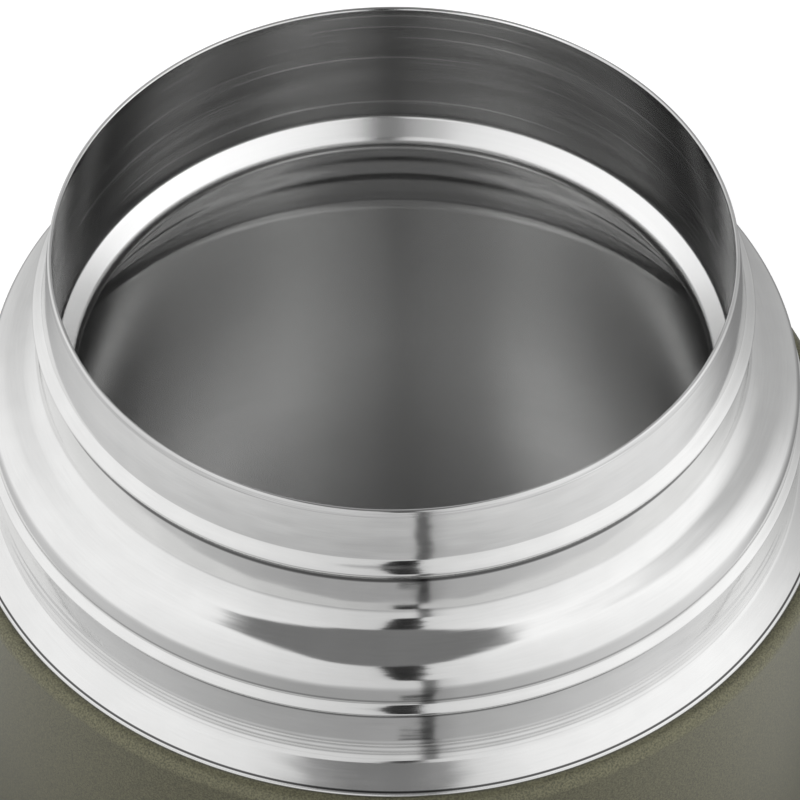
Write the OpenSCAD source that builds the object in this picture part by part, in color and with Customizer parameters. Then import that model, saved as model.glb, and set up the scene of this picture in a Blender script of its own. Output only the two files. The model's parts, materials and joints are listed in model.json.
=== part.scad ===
// Insulated food jar: vacuum jar with a bare steel neck, and its press-on lid set down beside it.
// Origin at the middle of the foot, +Z up. Every round piece is a revolve about the jar's or the lid's axis.

/* [Jar body] */
// Height of the jar from the table to the lip
jar_h = 125; // [118:1:150]
// Outside diameter of the painted body
body_d = 98.2; // [96:0.2:104]
// Inside diameter of the mouth
mouth_d = 72.6; // [70:0.1:74]
// Thickness of the painted body sheet
body_sheet = 0.6; // [0.4:0.1:0.9]
// Thickness of the neck and liner sheet
steel_sheet = 0.4; // [0.3:0.05:0.5]
// Radius of the painted shoulder edge
shoulder_round = 1.5; // [1:0.1:2.5]
// Flat width of the painted shoulder between the steel and the rounded edge
shoulder_flat = 0.2; // [0.1:0.1:1]

/* [Lip and neck] */
// Height of the rolled lip
lip_h = 0.9; // [0.8:0.05:1.4]
// How much the wall widens from the lip down to the upper ridge
band_flare = 0.5; // [0.2:0.05:0.7]
// Depth of the upper ridge's crest below the lip
ridge_1_depth = 8.2; // [7.4:0.1:9]
// How far the upper ridge stands out of the wall over it
ridge_1_out = 1.05; // [0.8:0.05:1.4]
// Height of the upper ridge's sloping top side
ridge_1_up = 1.7; // [1.4:0.1:2.4]
// Height of each ridge's underside
ridge_down = 1.1; // [0.8:0.1:1.5]
// How much wider the wall is under the upper ridge than over it
collar_out = 0.6; // [0.4:0.05:0.8]
// Depth at which the neck starts to step out
step_depth = 12.9; // [12:0.1:14]
// Slope of the step, from upright
step_angle = 72; // [66:1:78]
// Radius of the hollow bend over the step, as a share of the step's width
step_hollow = 0.6; // [0.4:0.01:0.7]
// Radius of the round bend under the step, as a share of the step's width
step_round = 0.8; // [0.6:0.01:0.9]
// Height of the straight wall between the step and the lower ridge
step_wall_h = 0.8; // [0.5:0.1:1.5]
// How far the lower ridge stands out of the wall
ridge_2_out = 0.65; // [0.5:0.05:0.9]
// Height of the lower ridge's sloping top side
ridge_2_up = 1; // [0.8:0.1:1.5]
// Height of the straight wall between the lower ridge and the flare
wall_h = 4.2; // [3:0.1:6]
// How far the flare stands out of that wall
flare_out = 3; // [2.6:0.1:3.6]
// Radius of the gentle hollow that leads into the flare
foot_hollow_r = 14; // [10:1:18]
// Slope that the gentle hollow ends at, from upright
foot_hollow_angle = 11.5; // [8:0.5:14]
// Slope of the flare, from upright
flare_angle = 51; // [46:1:58]
// Radius of the bend over the flare
flare_r = 0.7; // [0.5:0.1:1.4]

/* [Liner] */
// Depth at which the rolled bead starts inside the mouth
bead_depth = 17.4; // [17:0.1:19]
// How far the bead stands into the mouth
bead_in = 1.85; // [1.2:0.05:2.4]
// Radius of the bead's crest
bead_r = 1; // [0.8:0.1:1.4]
// Slope of the liner's shoulder under the bead, from upright
liner_angle = 28; // [26:1:34]
// Vacuum space between the liner and the painted body
vacuum_gap = 3.5; // [3:0.1:4.5]
// Height of the inside floor above the table
floor_h = 13; // [12:0.5:18]
// Radius of the inside bottom corner
floor_corner_r = 9; // [6:0.5:12]
// Flat width between the inside bottom corner and the floor disc
floor_flat = 2.6; // [1:0.1:6]
// Rise of the floor disc at its middle
floor_rise = 1.2; // [0.6:0.1:2]

/* [Base] */
// Height of the base cup
base_h = 12; // [10:0.5:16]
// Wall of the base cup
base_wall = 1.2; // [1:0.1:1.5]
// Radius of the base cup's bottom edge
base_round = 3; // [2:0.1:4]
// Distance from the outside of the body to the middle of the foot ring
foot_inset = 11.1; // [8:0.1:15]
// Width of the foot ring
foot_w = 5; // [3:0.5:6]
// How far the foot ring stands out of the base cup
foot_proud = 0.5; // [0.3:0.1:1]
// Diameter of the getter pellet
getter_d = 8; // [6:0.5:9]
// Thickness of the getter pellet
getter_t = 2.4; // [2:0.1:3]
// Distance of the getter from the axis
getter_at = 19; // [17:0.5:22]

/* [Lid] */
// Free space between the jar and the lid standing beside it
lid_gap = 12; // [6:1:30]
// Height of the lid's top above the jar's lip when it is on
lid_rise = 14.5; // [13.5:0.5:20]
// Wall of the lid's outer moulding
lid_wall = 2.2; // [1.8:0.1:2.6]
// Radius of the lid's top edge
lid_round = 6; // [4:0.5:7]
// Radius of the shallow dish in the lid's top
dish_r = 34; // [26:0.5:36]
// Depth of the dish
dish_depth = 1; // [0.5:0.1:1.5]
// Wall of the lid's inner moulding
core_wall = 1.6; // [1.4:0.1:2]
// Space all round between the plug and the mouth
plug_clear = 0.2; // [0.15:0.05:0.4]
// Length of the plug's wall below the lip
plug_wall_l = 13; // [12:0.1:13.6]
// Height of the gasket
gasket_h = 3.2; // [2.6:0.1:3.4]
// How far the gasket's free edge stands past the plug
gasket_out = 1; // [0.6:0.1:1.4]
// Space between the snap collar and the upper ridge
collar_clear = 0.3; // [0.2:0.05:0.6]
// How far the snap rib stands in from the collar
snap_in = 0.5; // [0.3:0.05:0.7]

/* [Vent] */
// Diameter of the vent button
button_d = 18; // [14:0.5:20]
// Distance that the button moves when it is pressed
button_travel = 2; // [1.5:0.1:2.5]
// Diameter of the vent stem
stem_d = 4.8; // [4:0.1:5]
// Running clearance all round the stem
stem_clear = 0.05; // [0.02:0.01:0.08]
// Wire diameter of the vent spring
wire_d = 0.7; // [0.5:0.05:0.8]
// Turns of the vent spring
spring_turns = 4; // [3:0.5:5]
// Diameter of the vent seal
seal_d = 12; // [11:0.5:14]
// Thickness of the vent seal
seal_t = 1.4; // [1:0.1:1.8]

/* [Hidden] */
$fn = 128;

seam = 0.05;                                   // hairline between pieces that are welded or pressed together
body_r = body_d / 2;
mouth_r = mouth_d / 2;
lip_t = 2 * steel_sheet + seam;                // the liner and the neck are rolled together at the lip
neck_r = mouth_r + lip_t;                      // neck's outside under the lip
band_r = neck_r + band_flare;                  // wall over the upper ridge
crest_r = band_r + ridge_1_out;                // crest of the upper ridge
collar_r = band_r + collar_out;                // wall between the upper ridge and the step
paint_r = body_r - shoulder_round - shoulder_flat;
step_r = paint_r - flare_out;                  // wall on both sides of the lower ridge
step_out = step_r - collar_r;                  // how far the neck steps out
step_fit = min(1, 1 / ((step_hollow + step_round) * (1 - cos(step_angle))));  // both bends fit in the width
step_hollow_r = step_hollow * step_out * step_fit;
step_round_r = step_round * step_out * step_fit;
step_end = step_depth + drop(step_out, step_angle, step_hollow_r, step_round_r);
ridge_2_depth = step_end + step_wall_h + ridge_2_up;
flare_depth = ridge_2_depth + ridge_down + wall_h;
foot_hollow = bend(step_r, jar_h - flare_depth, foot_hollow_angle, foot_hollow_r);
flare_bend = bend_on(foot_hollow[len(foot_hollow) - 1], foot_hollow_angle, flare_angle, flare_r);
flare_end = flare_bend[len(flare_bend) - 1];
ledge_z = flare_end[1] - (paint_r - flare_end[0]) / tan(flare_angle);  // top of the painted shoulder
bead_crest_r = mouth_r - bead_in;
bead_angle = 38;                               // slope of the bead's upper side, from upright
bead_root_r = 0.5;                             // bend between the mouth wall and the bead
liner_r = body_r - body_sheet - vacuum_gap - steel_sheet;
liner_bend_r = 6;                              // bend between the liner's shoulder and its wall
floor_disc_r = liner_r - floor_corner_r - floor_flat;
foil_drop = 26;                                // top of the foil, under the bead's crest
crest_z = jar_h - bead_depth - drop(bead_in, bead_angle, bead_root_r, bead_r);
skirt_r = body_r - base_wall - seam;           // lower end of the painted shell, inside the base cup
cup_floor_t = 1.5;
cup_step_h = 1.2;                              // the cup's floor is thicker near its wall
cup_floor_z = foot_proud + cup_floor_t;        // inside floor of the base cup
rib_h = 1.2;                                   // rib in the base cup that carries the closing disc
rib_inset = 5;
bottom_z = cup_floor_z + rib_h;                // underside of the closing disc
rib_r = body_r - foot_inset - foot_w / 2 - rib_inset;
rib_t = 1.4;
foot_r = body_r - foot_inset;
foot_sunk = 0.7;                               // how deep the foot ring sits in the cup
dimple_r = 7;                                  // dimple round the evacuation hole
dimple_top_r = 5.5;
dimple_h = 2.2;
hole_r = 0.8;
plug_t = 1.2;                                  // solder over the hole
getter_z = bottom_z + body_sheet;              // top of the closing disc

skirt_clear = 0.4;                             // the lid's skirt ends just over the painted shoulder
skirt_depth = jar_h - ledge_z - skirt_clear;
lid_x = 2 * body_r + lid_gap;
lid_z = skirt_depth;                           // lifts the lid so that its skirt stands on the table
plug_r = mouth_r - plug_clear;
core_z = 0.3;                                  // underside of the inner moulding, over the lip
collar_in_r = crest_r + collar_clear;
collar_l = ridge_1_depth + ridge_down + 2.2;
groove_r = plug_r - 1.6;                       // bottom of the gasket's groove
plug_end = plug_wall_l + gasket_h;             // top of the plug's cover, below the lip
cover_t = 1;
seal_z = -plug_end - cover_t;                  // the vent's seal lies on this face
button_r = button_d / 2;
stem_r = stem_d / 2;
guide_r = stem_r + stem_clear + 1.6;
button_top = lid_rise - dish_depth - 0.2;
button_under = button_top - 2;
spring_z = core_z + core_wall;                 // the spring stands on the inner moulding
spring_r = guide_r + wire_d / 2 + 0.4;
clip_w = 1.6;                                  // ring that holds the seal on the stem
clip_t = 0.8;

// --- profiles: points are [radius, height], listed from the top down ---

// Height used by a double bend that moves the wall sideways by w
function drop(w, a, ra, rb) = (ra + rb) * sin(a) + (w - (ra + rb) * (1 - cos(a))) / sin(a) * cos(a);

// Bend that leaves an upright wall at radius r, height z and turns through a, outwards (s = 1) or inwards
function bend(r, z, a, ra, s = 1, n = 10) =
    [for (i = [0:n]) let (t = a * i / n) [r + s * ra * (1 - cos(t)), z - ra * sin(t)]];

// Bend that goes on outwards from the point p, from slope a0 to slope a1
function bend_on(p, a0, a1, ra, n = 6) =
    [for (i = [0:n]) let (t = a0 + (a1 - a0) * i / n)
        [p[0] + ra * (cos(a0) - cos(t)), p[1] - ra * (sin(t) - sin(a0))]];

// Double bend from an upright wall at r0, height z, to an upright wall at r1
function jog(r0, r1, z, a, ra, rb, n = 10) =
    let (s = sign(r1 - r0), z1 = z - drop(abs(r1 - r0), a, ra, rb))
    concat(bend(r0, z, a, ra, s, n),
           [for (i = [0:n]) let (t = a * (1 - i / n)) [r1 - s * rb * (1 - cos(t)), z1 + rb * sin(t)]]);

// Rolled ridge from the wall at r0 out to a crest of radius rc at height z, and back to the wall at r1
function ridge(r0, rc, r1, z, up, down, n = 12) = concat(
    [for (i = [0:n]) let (u = i / n) [r0 + (rc - r0) * (1 - cos(180 * u)) / 2, z + up * (1 - u)]],
    [for (i = [1:n]) let (u = i / n) [rc + (r1 - rc) * (1 - cos(180 * u)) / 2, z - down * u]]);

// The same line moved sideways by t, towards the axis where t is positive on a line that runs down
function beside(path, t) =
    [for (i = [0:len(path) - 1])
        let (a = path[max(i - 1, 0)], b = path[min(i + 1, len(path) - 1)], d = (b - a) / norm(b - a))
        path[i] + t * [d[1], -d[0]]];

function backwards(path) = [for (i = [len(path) - 1:-1:0]) path[i]];

// Sheet of thickness t whose face is path and whose other face lies beside it
module sheet(path, t) rotate_extrude() polygon(concat(path, backwards(beside(path, t))));

// Plain ring between two radii and two heights
module ring(r0, r1, z0, z1) rotate_extrude() translate([r0, z0]) square([r1 - r0, z1 - z0]);

// Solid revolve of a profile
module turned(path) rotate_extrude() polygon(path);

module on_lid() translate([lid_x, 0, lid_z]) children();

// --- jar ---

neck_line = concat(
    [[neck_r, jar_h - lip_h]],
    ridge(band_r, crest_r, collar_r, jar_h - ridge_1_depth, ridge_1_up, ridge_down),
    jog(collar_r, step_r, jar_h - step_depth, step_angle, step_hollow_r, step_round_r),
    ridge(step_r, step_r + ridge_2_out, step_r, jar_h - ridge_2_depth, ridge_2_up, ridge_down),
    foot_hollow, [for (i = [1:len(flare_bend) - 1]) flare_bend[i]],
    // joggle under the painted shoulder, then down inside the body
    [[paint_r - seam, ledge_z], [paint_r - seam, ledge_z - body_sheet],
     [body_r - shoulder_round, ledge_z - body_sheet],
     [body_r - body_sheet - seam, ledge_z - shoulder_round - seam],
     [body_r - body_sheet - seam, ledge_z - shoulder_round - 5]]);

module neck_shell() color("silver") sheet(neck_line, steel_sheet);

body_line = concat(
    [[paint_r, ledge_z]],
    [for (i = [0:8]) let (t = 90 - 90 * i / 8)
        [body_r - shoulder_round * (1 - cos(t)), ledge_z - shoulder_round * (1 - sin(t))]],
    [[body_r, base_h]]);

module outer_shell() color([0.42, 0.41, 0.33]) {
    difference() {
        turned(concat(body_line, [[0, base_h], [0, ledge_z]]));
        // hollow, with the inner bend of the sheet at the shoulder
        turned([[0, base_h - 1], [body_r - body_sheet, base_h - 1],
                [body_r - body_sheet, ledge_z - shoulder_round],
                [body_r - shoulder_round, ledge_z - body_sheet], [0, ledge_z - body_sheet]]);
        translate([0, 0, ledge_z - body_sheet - 1]) cylinder(r = paint_r, h = body_sheet + 2);
    }
    // joggled lower end that the base cup covers
    ring(skirt_r - body_sheet, body_r - body_sheet / 2, base_h, base_h + body_sheet);
    ring(skirt_r - body_sheet, skirt_r, bottom_z, base_h + body_sheet);
}

liner_line = concat(
    [[mouth_r, jar_h - lip_t / 2]],
    jog(mouth_r, bead_crest_r, jar_h - bead_depth, bead_angle, bead_root_r, bead_r),
    jog(bead_crest_r, liner_r, crest_z - 0.01, liner_angle, bead_r, liner_bend_r),
    [for (i = [0:12]) let (t = 90 * i / 12)
        [liner_r - floor_corner_r * (1 - cos(t)), floor_h + floor_corner_r * (1 - sin(t))]],
    [[floor_disc_r + seam, floor_h]]);

module liner() color("gainsboro") {
    sheet(liner_line, -steel_sheet);
    // rolled lip that covers the top edge of the neck
    turned(concat(
        [for (i = [0:12]) let (t = 180 * i / 12)
            [mouth_r + lip_t / 2 + lip_t / 2 * cos(t), jar_h - lip_t / 2 + lip_t / 2 * sin(t)]],
        [[mouth_r, jar_h - lip_h], [neck_r, jar_h - lip_h]]));
}

// Disc with a flat middle that rises in a smooth dome from its flat rim
module liner_floor() color("gainsboro")
    sheet(concat([[0, floor_h + floor_rise]], [for (i = [0:16]) let (u = i / 16)
        [floor_disc_r * (0.08 + 0.92 * u), floor_h + floor_rise * (1 + cos(180 * u)) / 2]]), steel_sheet);

module radiation_foil() color("peru")
    ring(liner_r + steel_sheet + 0.2, liner_r + steel_sheet + 0.4,
         floor_h + floor_corner_r, crest_z - foil_drop);

module outer_bottom() color("gray") {
    difference() {
        union() {
            ring(0, skirt_r - body_sheet - seam, bottom_z, getter_z);
            ring(skirt_r - 2 * body_sheet - seam, skirt_r - body_sheet - seam, bottom_z, base_h - 2);
            translate([0, 0, bottom_z]) cylinder(r1 = dimple_r, r2 = dimple_top_r, h = dimple_h + body_sheet);
        }
        // dimple for the evacuation hole
        translate([0, 0, bottom_z - 0.01])
            cylinder(r1 = dimple_r - body_sheet, r2 = dimple_top_r - body_sheet, h = dimple_h);
        cylinder(r = hole_r, h = floor_h);
    }
}

module vacuum_plug() color("darkgray") {
    translate([0, 0, bottom_z + dimple_h - plug_t])
        cylinder(r1 = 2 * plug_t, r2 = 2.5 * plug_t, h = plug_t - 0.01);
    translate([0, 0, bottom_z + dimple_h - plug_t / 2])
        cylinder(r = hole_r - seam, h = body_sheet + plug_t / 2);
}

module getter() color("dimgray")
    translate([getter_at, 0, getter_z + 0.4]) cylinder(d = getter_d, h = getter_t);

module getter_clip() color("silver") translate([getter_at, 0, getter_z]) {
    // foot under the pellet, cage round it and fingers over its edge
    cylinder(d = getter_d + 2, h = 0.4 - seam);
    difference() {
        cylinder(d = getter_d + 2, h = getter_t + 0.8);
        translate([0, 0, -1]) cylinder(d = getter_d + 0.2, h = getter_t + 1.4 + seam);
        translate([0, 0, getter_t]) cylinder(d = getter_d - 2, h = 2);
        for (a = [45:90:315]) rotate(a) translate([getter_d / 4, -1.5, 0.4]) cube([getter_d, 3, getter_t + 1]);
    }
}

module base_cup() color([0.32, 0.31, 0.26]) {
    difference() {
        turned(concat([[0, base_h - 0.2], [body_r, base_h - 0.2]],
            [for (i = [0:8]) let (t = -90 * i / 8)
                [body_r - base_round + base_round * cos(t), foot_proud + base_round + base_round * sin(t)]],
            [[0, foot_proud]]));
        translate([0, 0, cup_floor_z + cup_step_h]) cylinder(r = body_r - base_wall, h = base_h);
        translate([0, 0, cup_floor_z]) cylinder(r = body_r - base_round - 1, h = base_h);
        // seat of the foot ring
        ring(foot_r - foot_w / 2 - seam, foot_r + foot_w / 2 + seam, -foot_sunk, foot_proud + foot_sunk);
    }
    // rib that carries the closing disc
    ring(rib_r - rib_t, rib_r, cup_floor_z - 0.2, bottom_z);
}

module foot_ring() color([0.13, 0.13, 0.13])
    ring(foot_r - foot_w / 2, foot_r + foot_w / 2, 0, foot_proud + foot_sunk);

// --- lid, in the place it has on the jar: height 0 is the jar's lip ---

module lid_shell() color([0.2, 0.2, 0.19]) on_lid() difference() {
    turned(concat(
        [[0, lid_rise - dish_depth], [dish_r - 3, lid_rise - dish_depth], [dish_r, lid_rise]],
        [for (i = [0:12]) let (t = 90 - 90 * i / 12)
            [body_r - lid_round + lid_round * cos(t), lid_rise - lid_round + lid_round * sin(t)]],
        [[body_r, -skirt_depth + 0.6], [body_r - 0.6, -skirt_depth], [0, -skirt_depth]]));
    // hollow inside
    turned(concat(
        [[0, lid_rise - dish_depth - lid_wall]],
        [for (i = [0:12]) let (t = 90 - 90 * i / 12, f = lid_round - lid_wall)
            [body_r - lid_round + f * cos(t), lid_rise - dish_depth - lid_round + f * sin(t)]],
        [[body_r - lid_wall, -skirt_depth - 1], [0, -skirt_depth - 1]]));
    // hole for the button
    translate([0, 0, 1]) cylinder(r = button_r + 0.3, h = lid_rise);
}

core_edge_r = body_r - lid_wall - seam;

module lid_core() color([0.28, 0.28, 0.27]) on_lid() {
    difference() {
        ring(0, core_edge_r, core_z, core_z + core_wall);
        cylinder(r = guide_r + seam, h = lid_rise);
    }
    // plug wall, narrowed at its end for the gasket
    ring(plug_r - core_wall, plug_r, -plug_wall_l, core_z + 0.1);
    ring(groove_r - core_wall, groove_r, -plug_end, 0.2 - plug_wall_l + core_wall);
    ring(groove_r - core_wall, plug_r - 0.2, -plug_wall_l, core_wall - plug_wall_l);
    // snap collar with its inward rib, and short ribs that stiffen it
    turned([[collar_in_r + core_wall, core_z + 0.1], [collar_in_r, core_z + 0.1], [collar_in_r, 2.2 - collar_l],
            [collar_in_r - snap_in, 1.4 - collar_l], [collar_in_r - snap_in, 1 - collar_l],
            [collar_in_r, -collar_l], [collar_in_r + core_wall, -collar_l]]);
    for (a = [22.5:45:337.5]) rotate(a)
        translate([collar_in_r + core_wall - 0.2, -0.7, -collar_l / 2])
            cube([core_edge_r - collar_in_r - core_wall - 0.4, 1.4, collar_l / 2 + core_z + 0.1]);
}

module plug_cover() color([0.28, 0.28, 0.27]) on_lid() difference() {
    union() {
        ring(0, plug_r - 0.4, -plug_end - cover_t, -plug_end);
        // spigot inside the plug's wall
        ring(groove_r - 2 * core_wall, groove_r - core_wall - seam, -plug_end - 0.1, 2 - plug_end);
    }
    // vent port
    translate([0, 0, -plug_end - 2]) cylinder(r = stem_r + 1.4, h = 4);
}

module lid_foam() color("ivory") on_lid()
    ring(button_r + 2.5, body_r - lid_round, spring_z, lid_rise - dish_depth - lid_wall);

module plug_foam() color("ivory") on_lid()
    ring(guide_r + 1, groove_r - 2 * core_wall - seam, -plug_end, core_z);

module lid_gasket() color([0.75, 0.75, 0.73]) on_lid()
    turned([[groove_r + seam, -plug_wall_l], [plug_r, -plug_wall_l],
            [plug_r, 1.6 - plug_end], [plug_r + gasket_out, 0.9 - plug_end],
            [plug_r + gasket_out, 0.5 - plug_end], [plug_r - 0.2, -plug_end], [groove_r + seam, -plug_end]]);

module vent_guide() color("white") on_lid() difference() {
    union() {
        ring(0, guide_r, -4, spring_z + 2.5);
        ring(0, guide_r + 1, core_z - 1.2, core_z);
    }
    translate([0, 0, -5]) cylinder(r = stem_r + stem_clear, h = 20);
}

// Point number i of n on the spring's centre line, whose end turns lie flat
function coil(i, n, r, h) =
    let (u = i / n, lift = u - 0.7 * sin(360 * u) / (2 * PI)) [r * cos(360 * spring_turns * u),
        r * sin(360 * spring_turns * u), h * lift];

module vent_spring() color("silver") on_lid() {
    sides = 8;
    steps = round(20 * spring_turns);
    h = button_under - spring_z - wire_d - 2 * seam;
    points = [for (i = [0:steps]) let (
            p = coil(i, steps, spring_r, h),
            out = [p[0], p[1], 0] / spring_r)
        for (k = [0:sides - 1]) p + wire_d / 2 * (cos(360 * k / sides) * out + [0, 0, sin(360 * k / sides)])];
    translate([0, 0, spring_z + seam + wire_d / 2]) polyhedron(
        points = points,
        faces = concat(
            [[for (k = [0:sides - 1]) k]],
            [for (i = [0:steps - 1]) for (k = [0:sides - 1])
                [i * sides + (k + 1) % sides, i * sides + k,
                 (i + 1) * sides + k, (i + 1) * sides + (k + 1) % sides]],
            [[for (k = [sides - 1:-1:0]) steps * sides + k]]));
}

module vent_button() color([0.45, 0.45, 0.43]) on_lid() {
    // cap with a rounded edge, a finger dish and a skirt
    difference() {
        turned(concat([[0, button_top]],
            [for (i = [0:6]) let (t = 90 - 15 * i) [button_r - 1 + cos(t), button_top - 1 + sin(t)]],
            [[button_r, button_under - 1.5], [0, button_under - 1.5]]));
        ring(0, button_r - 1.2, button_under - 3, button_under);
        translate([0, 0, button_top + 29.5]) sphere(r = 30, $fn = 160);
    }
    // stem down to the seal
    translate([0, 0, seal_z - seal_t - 1.6])
        cylinder(r = stem_r, h = button_under + 0.5 - seal_z + seal_t + 1.6);
}

module vent_seal() color([0.75, 0.75, 0.73]) on_lid() difference() {
    translate([0, 0, seal_z - seal_t]) cylinder(d = seal_d, h = seal_t);
    translate([0, 0, seal_z - 5]) cylinder(r = stem_r + 0.01, h = 10);
}

module vent_clip() color("silver") on_lid() difference() {
    translate([0, 0, seal_z - seal_t - clip_t]) cylinder(r = stem_r + clip_w, h = clip_t);
    translate([0, 0, seal_z - seal_t - 2 * clip_t]) cylinder(r = stem_r + 0.01, h = 3 * clip_t);
    // open end of the ring
    translate([0, -clip_w / 2, seal_z - seal_t - 2 * clip_t]) cube([2 * stem_r, clip_w, 3 * clip_t]);
}

neck_shell();
outer_shell();
liner();
liner_floor();
radiation_foil();
outer_bottom();
vacuum_plug();
getter();
getter_clip();
base_cup();
foot_ring();
lid_shell();
lid_core();
plug_cover();
lid_foam();
plug_foam();
lid_gasket();
vent_guide();
vent_spring();
vent_button();
vent_seal();
vent_clip();
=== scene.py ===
"""Insulated food jar with its press-on lid set down beside it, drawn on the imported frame.

Every round piece is a profile turned about the jar's axis or the lid's axis. Lengths are metres.
"""

import json
import math

import bpy
import numpy as np
from bpy.props import FloatProperty, FloatVectorProperty, PointerProperty
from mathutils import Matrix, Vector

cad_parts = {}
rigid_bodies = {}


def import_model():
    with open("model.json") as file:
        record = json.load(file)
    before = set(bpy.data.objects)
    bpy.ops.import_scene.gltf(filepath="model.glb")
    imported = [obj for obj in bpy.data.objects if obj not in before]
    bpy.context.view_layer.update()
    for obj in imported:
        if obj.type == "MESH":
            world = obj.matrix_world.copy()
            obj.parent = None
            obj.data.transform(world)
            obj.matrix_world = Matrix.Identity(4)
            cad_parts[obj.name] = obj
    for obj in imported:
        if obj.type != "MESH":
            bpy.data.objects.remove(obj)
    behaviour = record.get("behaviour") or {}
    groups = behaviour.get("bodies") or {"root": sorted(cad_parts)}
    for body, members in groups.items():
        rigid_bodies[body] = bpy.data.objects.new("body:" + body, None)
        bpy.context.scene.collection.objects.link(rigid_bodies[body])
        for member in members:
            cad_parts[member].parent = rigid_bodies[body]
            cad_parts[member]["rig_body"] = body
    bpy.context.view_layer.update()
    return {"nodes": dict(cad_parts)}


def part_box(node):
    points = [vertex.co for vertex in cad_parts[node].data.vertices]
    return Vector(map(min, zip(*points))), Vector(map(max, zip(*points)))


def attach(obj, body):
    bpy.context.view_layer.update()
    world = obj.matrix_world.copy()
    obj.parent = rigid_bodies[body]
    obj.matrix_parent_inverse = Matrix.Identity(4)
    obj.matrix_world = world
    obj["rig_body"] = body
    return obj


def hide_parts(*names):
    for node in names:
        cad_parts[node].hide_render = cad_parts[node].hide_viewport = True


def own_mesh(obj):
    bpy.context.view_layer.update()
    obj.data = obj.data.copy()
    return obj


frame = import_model()

bl_info = {
    "name": "Insulated Food Jar",
    "version": (1, 0, 0),
    "blender": (4, 5, 0),
    "location": "View3D > Sidebar > Food Jar",
    "description": "Builds an insulated food jar with a ridged steel neck and a press-on lid",
    "category": "Object",
}

MM = 0.001
JAR_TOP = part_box("liner")[1].z
BODY_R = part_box("outer_shell")[1].x
SEAM = 0.05 * MM  # clearance between neighbouring sheets
LEAST_STEP = 0.004 * MM  # a profile's points are at least this far apart
SHARP_EDGE = math.radians(38)  # faces that meet at more than this keep a sharp edge
ON_AXIS = 1e-9  # a smaller radius counts as on the axis

# Depths below the top of the jar
LIP_END = 0.9 * MM
FIRST_RIDGE = 7.95 * MM
STEP = 13.65 * MM
BEAD_CREST = 19.8 * MM
SECOND_RIDGE = 23.35 * MM

# Painted shade: dark lines in the creases beside the ridges, standing for the shade there: depth
# below the top of the jar, half width, strength
PAINTED_CREASE_SHADES = ((9.2 * MM, 0.5 * MM, 0.85), (21.95 * MM, 0.3 * MM, 0.45), (24.45 * MM, 0.3 * MM, 0.65))


# --- profiles: rows of (radius, height) ---


def bend(r, z, angle, radius, side=1, n=20):
    """Leaves an upright wall at (r, z) and turns through angle on an arc.

    The arc leads outwards for side 1 and inwards for side -1.
    """
    t = np.linspace(0, math.radians(angle), n + 1)
    return np.c_[r + side * radius * (1 - np.cos(t)), z - radius * np.sin(t)]


def drop(width, angle, first, second):
    """Height that a double bend uses: both arcs' sines plus the straight slope between them."""
    a = math.radians(angle)
    arcs = first + second
    return arcs * math.sin(a) + (width - arcs * (1 - math.cos(a))) / math.tan(a)


def jog(r0, r1, z, angle, first, second, n=20):
    """Double bend from an upright wall at r0, height z, to one at r1: arc, straight slope, arc."""
    side = 1 if r1 > r0 else -1
    z1 = z - drop(abs(r1 - r0), angle, first, second)
    t = np.linspace(math.radians(angle), 0, n + 1)
    last = np.c_[r1 - side * second * (1 - np.cos(t)), z1 + second * np.sin(t)]
    return np.r_[bend(r0, z, angle, first, side, n), last]


def swell(r0, r1, z0, z1, n):
    """Half cosine from the radius r0 at the height z0 to r1 at z1."""
    u = np.linspace(0, 1, n + 1)
    return np.c_[r0 + (r1 - r0) * (1 - np.cos(np.pi * u)) / 2, z0 + (z1 - z0) * u]


def ridge(r0, crest, r1, z, up, down, n):
    """Rolled ridge: a half cosine from r0 out to the crest at height z, and another back to r1."""
    return np.r_[swell(r0, crest, z + up, z, n), swell(crest, r1, z, z - down, n)[1:]]


def arc(r, z, radius, start, end, n=16):
    """Arc about (r, z) from the angle start to the angle end, in degrees: 0 is outwards, 90 up."""
    t = np.radians(np.linspace(start, end, n + 1))
    return np.c_[r + radius * np.cos(t), z + radius * np.sin(t)]


def beside(path, gap):
    """The same line moved sideways: each point plus gap times its neighbours' chord's normal."""
    ends = np.r_[path[1:], path[-1:]] - np.r_[path[:1], path[:-1]]
    ends /= np.linalg.norm(ends, axis=1)[:, None]
    return path + gap * np.c_[ends[:, 1], -ends[:, 0]]


def spaced(path):
    """Drops points that lie closer than LEAST_STEP to the one before."""
    step = np.r_[1, np.hypot(*np.diff(path, axis=0).T)]
    return path[step > LEAST_STEP]


# --- meshes ---


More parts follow.
